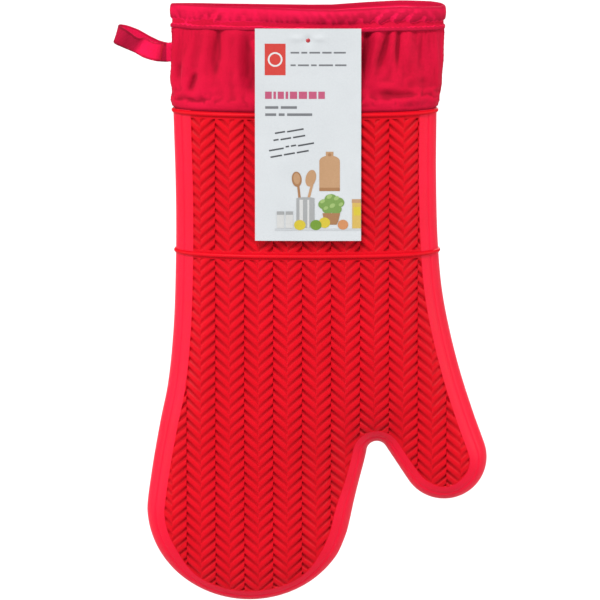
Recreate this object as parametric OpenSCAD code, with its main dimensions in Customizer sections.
// Oven mitt: a moulded silicone shell over a wadded cotton lining, with a cotton cuff.
// It hangs with its mouth up: +Z towards the mouth, +X towards the thumb, the front faces -Y.
// The origin is the centre of the mouth, level with the top of the hem. Millimetres.

/* [Overall size] */
// Length from the mouth to the fingertip
mitt_length = 356; // [345:1:370]
// Width across the mouth
mouth_width = 161; // [154:1:168]
// Depth across the mouth, from front to back
mouth_depth = 24.6; // [22:0.2:30]
// Width at the silicone rim
wrist_width = 154; // [150:1:158]
// Greatest depth of the palm
palm_depth = 44; // [40:1:50]

/* [Cuff] */
// Height of the cotton cuff above the silicone rim
cuff_height = 60; // [55:1:66]
// How far the cuff cloth runs on inside the silicone
cuff_tuck = 10; // [6:1:14]
// Height of the hem band that is folded over the mouth
hem_height = 12.5; // [8:0.5:16]
// Thickness of the cuff and hem cloth
cloth_thickness = 0.6; // [0.4:0.1:0.6]
// Length of one hem stitch
stitch_length = 3.2; // [2:0.1:4]

/* [Fingers and thumb] */
// Width of the finger pocket
finger_width = 120; // [112:1:124]
// How far the finger pocket sits to the left of the mouth's centre
finger_shift = 34.5; // [30:0.5:38]
// Length of the rounded fingertip end
fingertip_round = 56; // [50:1:60]
// Radius of the thumb's round end
thumb_radius = 25; // [22:0.5:27]
// Where the thumb's round end is centred, to the right of the mouth's centre
thumb_x = 80; // [76:1:84]
// Where the thumb's round end is centred, below the mouth
thumb_drop = 270; // [264:1:274]
// How far the fingers bend forwards and backwards
finger_bend = 45; // [20:1:50]
// How far the thumb bends forwards and backwards
thumb_bend = 40; // [20:1:45]

/* [Layers] */
// Thickness of the silicone shell
silicone_thickness = 1.8; // [1.4:0.1:1.8]
// Thickness of the wadding under the silicone
wadding_thickness = 2.9; // [2:0.1:2.9]
// Thickness of the cotton lining
lining_thickness = 0.8; // [0.5:0.1:0.9]
// How far the two raised ribs stand out of the silicone
rib_proud = 1.1; // [0.6:0.1:1.4]
// Drop of the lower rib below the mouth
lower_rib_drop = 145; // [135:1:155]

/* [Hanging loop] */
// Width of the loop's tape
tape_width = 11; // [8:0.5:14]
// Thickness of the loop's tape
tape_thickness = 1.0; // [0.6:0.1:1.2]
// How far the loop stands out from the side seam
loop_reach = 32; // [26:1:36]
// Gap between the two plies of the loop at its widest
loop_gap = 7.4; // [6:0.2:9]
// How far the loop tilts up
loop_tilt = 14; // [8:1:18]

/* [Tag] */
// Width of the card
card_width = 63.5; // [50:0.5:66]
// Height of the card
card_height = 127; // [100:1:130]
// Thickness of the card
card_thickness = 0.5; // [0.4:0.1:0.8]
// Radius of the hole in the card
card_hole_radius = 1.2; // [1:0.1:1.5]

/* [Hidden] */

big = 500;
// Space between solids of different bodies, and between two layers of one body
clear = 0.3;
ply_gap = 0.2;
ring_points = 28;
edge_power = 2.5;

// Insets of each layer from the outer face, first in the cuff and then under the silicone
hem_outer = [0, cloth_thickness - 0.1];
cuff_cloth = [hem_outer[1] + ply_gap, hem_outer[1] + ply_gap + cloth_thickness];
cuff_wadding = [cuff_cloth[1] + ply_gap, cuff_cloth[1] + ply_gap + 1.8];
cuff_lining = [cuff_wadding[1] + ply_gap, cuff_wadding[1] + ply_gap + cloth_thickness];
hem_inner = [cuff_lining[1] + ply_gap, cuff_lining[1] + ply_gap + cloth_thickness - 0.1];
tuck = [silicone_thickness + clear, silicone_thickness + clear + cloth_thickness];
hand_wadding = [silicone_thickness + clear, silicone_thickness + clear + wadding_thickness];
hand_lining = [hand_wadding[1] + ply_gap, hand_wadding[1] + ply_gap + lining_thickness];

// Rows of [height, left edge, right edge, half depth] down the palm to where the tip rounds off
finger_left = -finger_shift - finger_width / 2;
finger_right = -finger_shift + finger_width / 2;
tip_top = fingertip_round - mitt_length;
profile = [
    [0, -mouth_width / 2, mouth_width / 2, mouth_depth / 2],
    [-cuff_height / 2, -mouth_width / 2 + 0.7, mouth_width / 2 - 1.5, mouth_depth / 2 + 2.2],
    [-cuff_height, -wrist_width / 2 - 1.5, wrist_width / 2 - 1.5, palm_depth / 2 - 4],
    [-100, -wrist_width / 2, wrist_width / 2 - 2.5, palm_depth / 2 - 2],
    [-lower_rib_drop, -wrist_width / 2, wrist_width / 2 - 1.5, palm_depth / 2 - 0.8],
    [-176, -wrist_width / 2 - 1, wrist_width / 2 + 1.2, palm_depth / 2],
    [-215, -wrist_width / 2 - 4, wrist_width / 2 - 11, palm_depth / 2],
    [-245, finger_left + 8, finger_right + 20, palm_depth / 2 - 1],
    [-262, finger_left + 5, finger_right + 11, palm_depth / 2 - 2],
    [-287, finger_left + 1, finger_right + 2.5, palm_depth / 2 - 3.4],
    [tip_top, finger_left, finger_right, palm_depth / 2 - 4.2]
];
function row(z, k) = lookup(z, [for (r = profile) [r[0], r[k]]]);

thumb_tip = [thumb_x, 0, -thumb_drop];
thumb_root = [33, 0, -182];
thumb_root_radius = 43;

// The thumb bends about a line in the mitt's plane, from just outside the crotch up to its outer side
crotch = [44, 0, -262];
thumb_lean = 31;
finger_hinge_z = -275;
finger_half = tan(finger_bend / 2);
thumb_half = tan(thumb_bend / 2);

// The loop swings about an upright line just outside the left side seam
loop_z = -27;
loop_x = -mouth_width / 2 - 2.6;
anchor_gap = 1.7;

// The card hangs from a hole below its top edge, and leans back onto the silicone
card_hole = [0, -17.4, -15];
card_lean = 3.2;
hole_drop = 7;
fastener_radius = 0.5;

cotton = [0.80, 0.10, 0.22];
cotton_dark = [0.66, 0.06, 0.16];
silicone = [0.86, 0.10, 0.15];
thread_colour = [0.62, 0.05, 0.14];

// One closed outline of the hand at height z, moved inwards by inset. Turn is in steps between its points
function ring_at(z, left, right, half, turn = 0) = [
    for (i = [0 : ring_points - 1])
        let (a = 360 * (i + turn) / ring_points, c = cos(a), s = sin(a))
            [(left + right) / 2 + (right - left) / 2 * sign(c) * pow(abs(c), 2 / edge_power),
             half * sign(s) * pow(abs(s), 2 / 2.1), z]
];
function side_ring(z, inset, turn = 0) =
    ring_at(z, row(z, 1) + inset, row(z, 2) - inset, row(z, 3) - inset, turn);

// The fingertip's outline rounds off as part of an ellipse, from angle 0 to last_tip_angle
last_tip_angle = 85;
function tip_ring(angle, inset) =
    let (w = (finger_width / 2 - inset) * cos(angle),
         t = (row(tip_top, 3) - inset) * pow(cos(angle), 0.8),
         z = tip_top - (fingertip_round - inset) * sin(angle) / sin(last_tip_angle))
        ring_at(z, -finger_shift - w, -finger_shift + w, t);

module loft(rings) {
    for (i = [0 : len(rings) - 2]) {
        points = concat(rings[i], rings[i + 1]);
        hull() polyhedron(points = points, faces = [[for (k = [0 : len(points) - 1]) k]]);
    }
}

// A sleeve of one layer through [height, inset] steps, from the top down
module sleeve(steps) {
    loft([for (s = steps) side_ring(s[0], s[1])]);
}

// The hand without its thumb: a sleeve that runs on to the fingertip with the last step's inset
module hand_body(steps) {
    last = steps[len(steps) - 1];
    below = [for (r = profile) if (r[0] < last[0] - 1) [r[0], last[1]]];
    loft(concat([for (s = concat(steps, below)) side_ring(s[0], s[1])],
                [for (a = [17 : 17 : last_tip_angle]) tip_ring(a, last[1])]));
}

module thumb_body(inset) {
    hull() {
        translate(thumb_root)
            scale([thumb_root_radius - inset, palm_depth / 2 - 1 - inset, thumb_root_radius - inset])
                sphere(r = 1, $fn = 24);
        translate(thumb_tip)
            scale([thumb_radius - inset, palm_depth / 2 - 6 - inset, thumb_radius - inset])
                sphere(r = 1, $fn = 24);
    }
}

module raised_rib(z) {
    loft([for (s = [[1.4, 0.9], [0.6, -rib_proud], [-0.6, -rib_proud], [-1.4, 0.9]])
        side_ring(z + s[0], s[1], 0.5)]);
}

module silicone_shell() {
    difference() {
        union() {
            hand_body([[-cuff_height, 0]]);
            thumb_body(0);
            raised_rib(-cuff_height - 1.5);
            raised_rib(-lower_rib_drop);
        }
        hand_body([[-cuff_height + 1, silicone_thickness], [-cuff_height, silicone_thickness]]);
        thumb_body(silicone_thickness);
    }
}

// Heights between which the inner layers step outwards from the cuff to the silicone shell
cuff_middle = -cuff_height / 2;
step_top = -cuff_height + 12;
step_bottom = -cuff_height + 2;
tuck_end = -cuff_height - cuff_tuck - 6;

module wadding() {
    top = -4;
    difference() {
        union() {
            hand_body([[top, cuff_wadding[0]], [cuff_middle, cuff_wadding[0]], [step_top, cuff_wadding[0]],
                       [step_bottom, tuck[1] + ply_gap], [tuck_end + 3, tuck[1] + ply_gap],
                       [tuck_end, hand_wadding[0]]]);
            thumb_body(hand_wadding[0]);
        }
        hand_body([[1, cuff_wadding[1]], [cuff_middle, cuff_wadding[1]], [step_top, cuff_wadding[1]],
                   [step_bottom, hand_wadding[1]], [tuck_end, hand_wadding[1]]]);
        thumb_body(hand_wadding[1]);
    }
}

module lining() {
    top = -2;
    difference() {
        union() {
            hand_body([[top, cuff_lining[0]], [cuff_middle, cuff_lining[0]], [step_top, cuff_lining[0]],
                       [step_bottom, hand_lining[0]], [tuck_end, hand_lining[0]]]);
            thumb_body(hand_lining[0]);
        }
        hand_body([[1, cuff_lining[1]], [cuff_middle, cuff_lining[1]], [step_top, cuff_lining[1]],
                   [step_bottom, hand_lining[1]], [tuck_end, hand_lining[1]]]);
        thumb_body(hand_lining[1]);
    }
}

// The space on the far side of a pair of planes that meet along the X axis: z below -(half * |y| + gap)
module below_vee(half, gap) {
    rotate([90, 0, 90])
        linear_extrude(height = 2 * big, center = true)
            polygon([[0, -gap], [big, -gap - big * half], [big, -2 * big], [-big, -2 * big],
                     [-big, -gap - big * half]]);
}

// The fingers' side of the finger crease, and the thumb's side of the thumb crease
module finger_side(half, gap) {
    intersection() {
        translate([0, 0, finger_hinge_z])
            below_vee(half, gap);
        translate([crotch[0] - 2 - big, -big, -2 * big])
            cube([big, 2 * big, 4 * big]);
    }
}

module thumb_side(half, gap) {
    difference() {
        translate(crotch)
            rotate([0, thumb_lean - 90, 0])
                below_vee(half, gap);
        translate([crotch[0] - 2 - big, -big, -2 * big])
            cube([big, 2 * big, 2 * big + crotch[2] - 1]);
    }
}

module palm_part() {
    difference() {
        children();
        finger_side(-finger_half, -clear / 2);
        thumb_side(-thumb_half, -clear / 2);
    }
}

module finger_part() {
    intersection() {
        children();
        finger_side(finger_half, clear / 2);
    }
}

module thumb_part() {
    intersection() {
        children();
        thumb_side(thumb_half, clear / 2);
    }
}

module silicone_palm() {
    color(silicone)
        palm_part()
            silicone_shell();
}

module silicone_fingers() {
    color(silicone)
        finger_part()
            silicone_shell();
}

module silicone_thumb() {
    color(silicone)
        thumb_part()
            silicone_shell();
}

// The strips of silicone that fold as the fingers or the thumb bend
module finger_crease() {
    color(silicone)
        difference() {
            intersection() {
                silicone_shell();
                finger_side(-finger_half, clear);
            }
            finger_side(finger_half, -clear);
        }
}

module thumb_crease() {
    color(silicone)
        difference() {
            intersection() {
                silicone_shell();
                thumb_side(-thumb_half, clear);
            }
            thumb_side(thumb_half, -clear);
        }
}

module wadding_palm() {
    color("whitesmoke")
        palm_part()
            difference() {
                wadding();
                fastener_way();
            }
}

module wadding_fingers() {
    color("whitesmoke")
        finger_part()
            wadding();
}

module wadding_thumb() {
    color("whitesmoke")
        thumb_part()
            wadding();
}

module lining_palm() {
    color(cotton)
        palm_part()
            difference() {
                lining();
                fastener_way();
            }
}

module lining_fingers() {
    color(cotton)
        finger_part()
            lining();
}

module lining_thumb() {
    color(cotton)
        thumb_part()
            lining();
}

// Evenly spaced [height, inset] steps of a sleeve with one inset
function span(top, bottom, inset, count) = [for (k = [0 : count]) [top + (bottom - top) * k / count, inset]];

// The hole that the tag's fastener passes through, along the card's normal
module along_fastener() {
    translate(card_hole)
        rotate([90 - card_lean, 0, 0])
            children();
}

module fastener_way() {
    along_fastener()
        translate([0, 0, -20])
            rotate([0, 0, 5])
                cylinder(r = fastener_radius + clear, h = 20, $fn = 24);
}

module cuff_sleeve() {
    difference() {
        sleeve([[-2, cuff_cloth[0]], [cuff_middle, cuff_cloth[0]], [-cuff_height + 4, cuff_cloth[0]],
                [-cuff_height + 0.5, tuck[0]], [-cuff_height - cuff_tuck, tuck[0]]]);
        sleeve([[-1, cuff_cloth[1]], [-2, cuff_cloth[1]], [cuff_middle, cuff_cloth[1]],
                [-cuff_height + 4, cuff_cloth[1]], [-cuff_height + 0.5, tuck[1]],
                [-cuff_height - cuff_tuck, tuck[1]], [-cuff_height - cuff_tuck - 1, tuck[1]]]);
        fastener_way();
        translate([-mouth_width / 2, 0, loop_z])
            cube([8, 2 * tape_thickness + 0.9, tape_width + 1], center = true);
    }
}

module cuff_front() {
    color(cotton)
        intersection() {
            cuff_sleeve();
            translate([-big, -big - ply_gap / 2, -big])
                cube([2 * big, big, 2 * big]);
        }
}

module cuff_back() {
    color(cotton)
        intersection() {
            cuff_sleeve();
            translate([-big, ply_gap / 2, -big])
                cube([2 * big, big, 2 * big]);
        }
}

// A strip of cloth folded over the mouth: an outer ply, a fold along the top, and an inner ply
module hem_band() {
    fold = 0.8;
    color(cotton)
        difference() {
            sleeve(concat([[0, 0.4]], span(-fold, -hem_height, 0, 3)));
            sleeve(span(1, -hem_height - 1, hem_inner[1], 2));
            difference() {
                sleeve(span(-fold, -hem_height - 1, hem_outer[1], 2));
                sleeve(span(0, -hem_height - 2, hem_inner[0], 2));
            }
        }
}

// A row of stitches laid on the outline at height z, each one a short flat thread
module stitch_row(z, inset, thickness) {
    points = side_ring(z, inset);
    for (i = [0 : ring_points - 1]) {
        from = points[i];
        step = points[(i + 1) % ring_points] - from;
        count = max(1, floor(norm(step) / (stitch_length + 0.8)));
        for (k = [0 : count - 1])
            translate(from + step * (k + 0.5) / count)
                rotate([0, 0, atan2(step[1], step[0])])
                    cube([min(stitch_length, 0.8 * norm(step)), thickness, 0.6], center = true);
    }
}

module hem_stitching() {
    color(thread_colour)
        stitch_row(-hem_height + 2, -0.32, 0.4);
}

// Hidden stitches that hold the cuff's tucked cloth to the silicone
module rim_stitching() {
    color(thread_colour)
        stitch_row(-cuff_height - cuff_tuck / 2, silicone_thickness + clear / 2, clear / 2);
}

module side_seams() {
    pitch = 4;
    count = floor((cuff_height - hem_height - 6) / pitch);
    color(thread_colour)
        for (side = [1, 2], k = [0 : count - 1]) {
            z = -hem_height - 3 - pitch * (k + 0.5);
            outwards = side == 1 ? -1 : 1;
            if (side == 2 || abs(z - loop_z) > tape_width / 2 + 1.5)
                translate([row(z, side) + outwards * -0.35, 0, z])
                    cube([0.5, 1.8, 0.6], center = true);
        }
}

// The tape's two ends, sewn into the left side seam
module loop_anchor() {
    inner_end = row(loop_z, 1) + cuff_wadding[0] - ply_gap;
    color(cotton_dark)
        for (side = [-1, 1])
            translate([loop_x + anchor_gap, side * (tape_thickness + ply_gap) / 2 - tape_thickness / 2,
                       loop_z - tape_width / 2])
                cube([inner_end - loop_x - anchor_gap, tape_thickness, tape_width]);
}

module teardrop(root_radius, bow_radius) {
    hull() {
        circle(r = root_radius, $fn = 24);
        translate([-loop_reach + loop_gap / 2 + tape_thickness, 0])
            circle(r = bow_radius, $fn = 32);
    }
}

// The tape leaves the seam, opens into a bow and rises as it goes
module hanging_loop() {
    color(cotton)
        translate([loop_x, 0, loop_z])
            multmatrix([[1, 0, 0, 0], [0, 1, 0, 0], [-tan(loop_tilt), 0, 1, 0], [0, 0, 0, 1]])
                linear_extrude(height = tape_width, center = true)
                    difference() {
                        teardrop(tape_thickness + ply_gap / 2, loop_gap / 2 + tape_thickness);
                        translate([-4, 0])
                            teardrop(ply_gap / 2, loop_gap / 2 - 0.4);
                        intersection() {
                            teardrop(ply_gap / 2, loop_gap / 2);
                            translate([-loop_reach, -loop_gap])
                                square([loop_reach - 4, 2 * loop_gap]);
                        }
                    }
}

// The bar tack across the tape where it leaves the seam
module loop_stitching() {
    tack = [2, 0.3, 0.7];
    tack_pitch = 2;
    tack_x = loop_x - 2.2;
    tack_y = tape_thickness + 0.75;
    color(thread_colour)
        for (side = [-1, 1], k = [-2 : 2])
            translate([tack_x, side * tack_y, loop_z + tack_pitch * k])
                cube(tack, center = true);
}

// A plastic thread with a head in front of the card and a cross bar inside the mouth
module tag_fastener() {
    head_gap = 0.9;
    shaft = 9.8;
    color("darkred") {
        along_fastener()
            translate([0, 0, -shaft])
                cylinder(r = fastener_radius, h = shaft + card_thickness / 2 + head_gap, $fn = 24);
        along_fastener()
            translate([0, 0, card_thickness / 2 + head_gap])
                cylinder(r = 1.5, h = 0.9, $fn = 24);
        along_fastener()
            translate([-5, 0, -shaft])
                rotate([0, 90, 0])
                    cylinder(r = fastener_radius, h = 10, $fn = 24);
    }
}

module hang_tag() {
    color("white")
        along_fastener()
            difference() {
                translate([-card_width / 2, hole_drop - card_height, -card_thickness / 2])
                    cube([card_width, card_height, card_thickness]);
                translate([0, 0, -card_thickness])
                    cylinder(r = card_hole_radius, h = 2 * card_thickness, $fn = 32);
            }
}

silicone_palm();
silicone_fingers();
silicone_thumb();
finger_crease();
thumb_crease();
wadding_palm();
wadding_fingers();
wadding_thumb();
lining_palm();
lining_fingers();
lining_thumb();
cuff_front();
cuff_back();
hem_band();
hem_stitching();
rim_stitching();
side_seams();
loop_anchor();
hanging_loop();
loop_stitching();
tag_fastener();
hang_tag();
